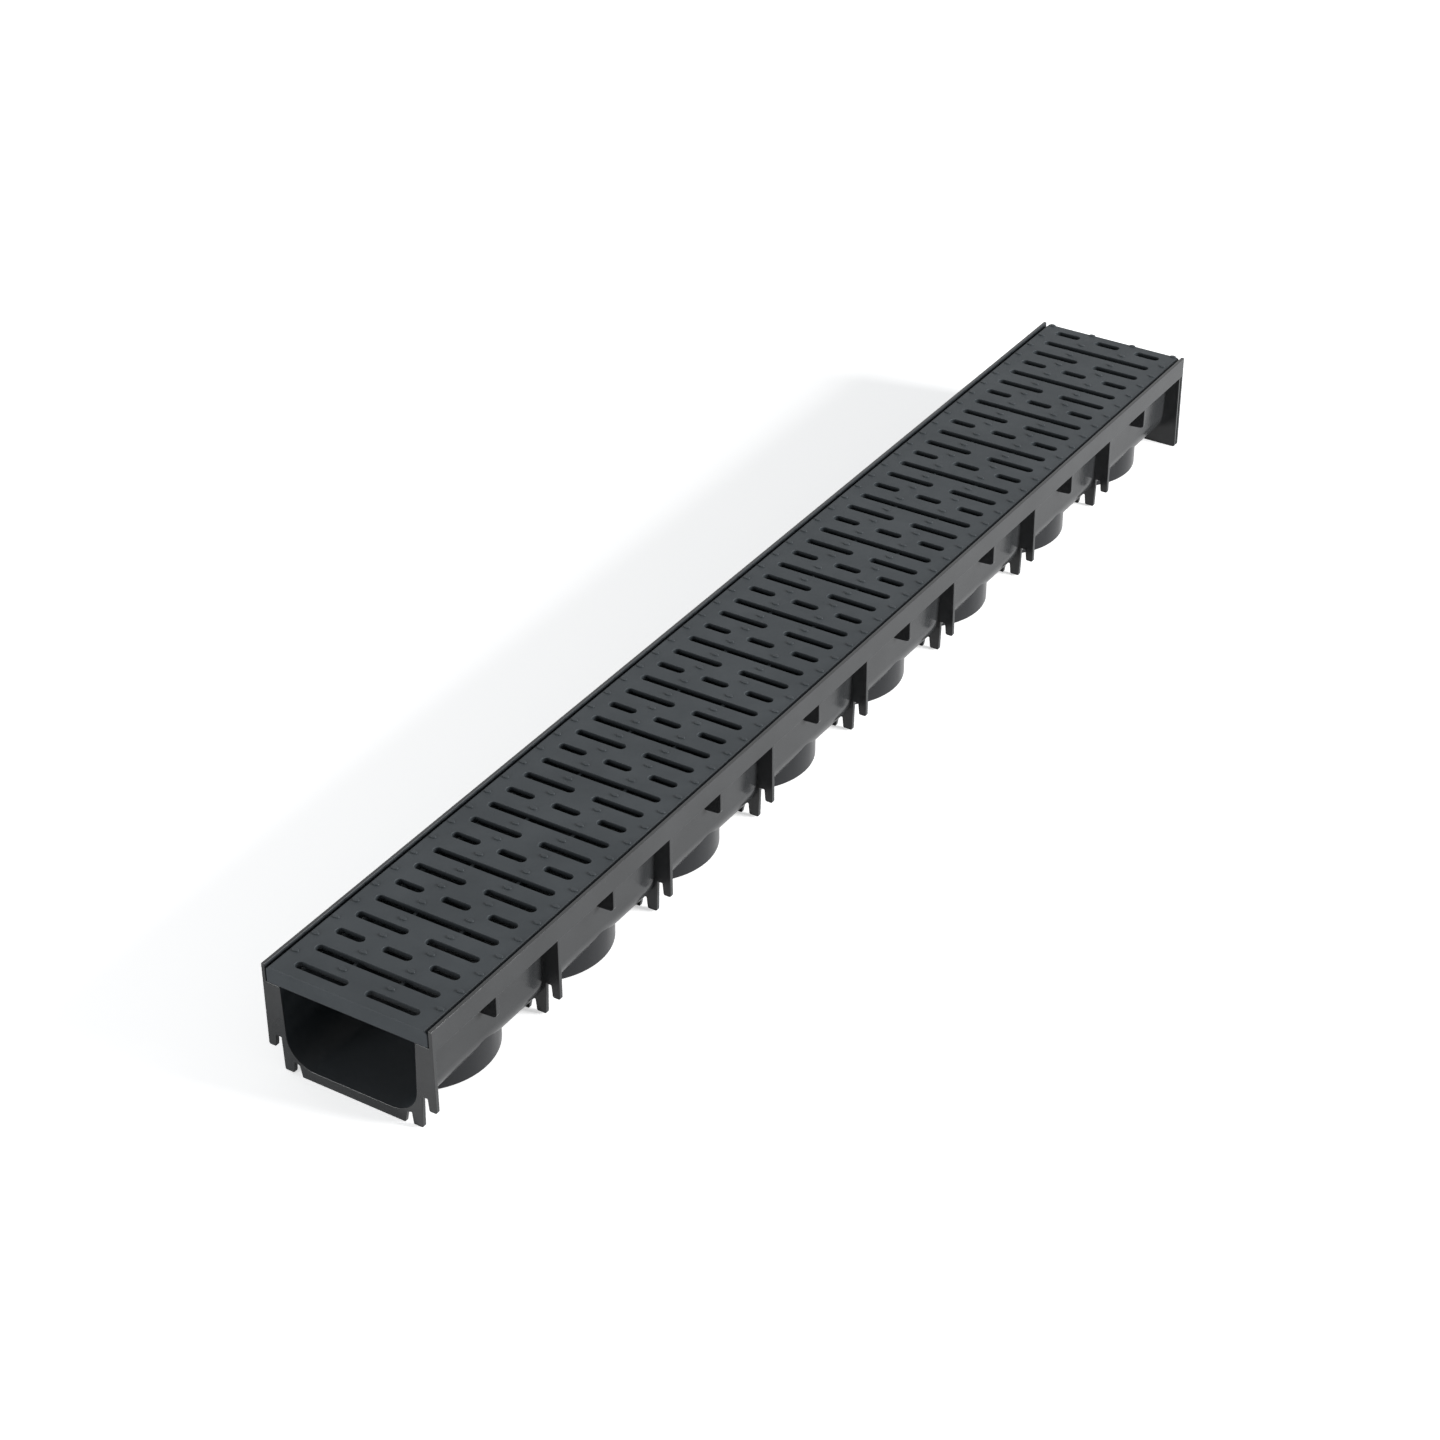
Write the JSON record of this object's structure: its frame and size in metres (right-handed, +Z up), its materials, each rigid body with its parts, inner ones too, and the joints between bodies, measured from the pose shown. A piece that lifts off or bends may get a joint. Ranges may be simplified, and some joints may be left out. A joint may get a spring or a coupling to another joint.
{
  "type": "surface channel drain",
  "caption": "Plastic drainage channel with a ribbed underside, outlet collars and a lift-out slotted grate, for surface water along paths and patios.",
  "frame": {"origin": "bottom centre of the channel, on the ground it stands on", "axes": "+Y along the channel from its fingered near end to its far end, +X across it, +Z up"},
  "size_m": [0.125, 1.006, 0.077],
  "materials": {
    "channel_plastic": "satin black moulded polypropylene",
    "grate_plastic": "fine grained black moulded polypropylene"
  },
  "bodies": {
    "root": {"channel": "channel_plastic", "grate": "grate_plastic"}
  },
  "joints": []
}
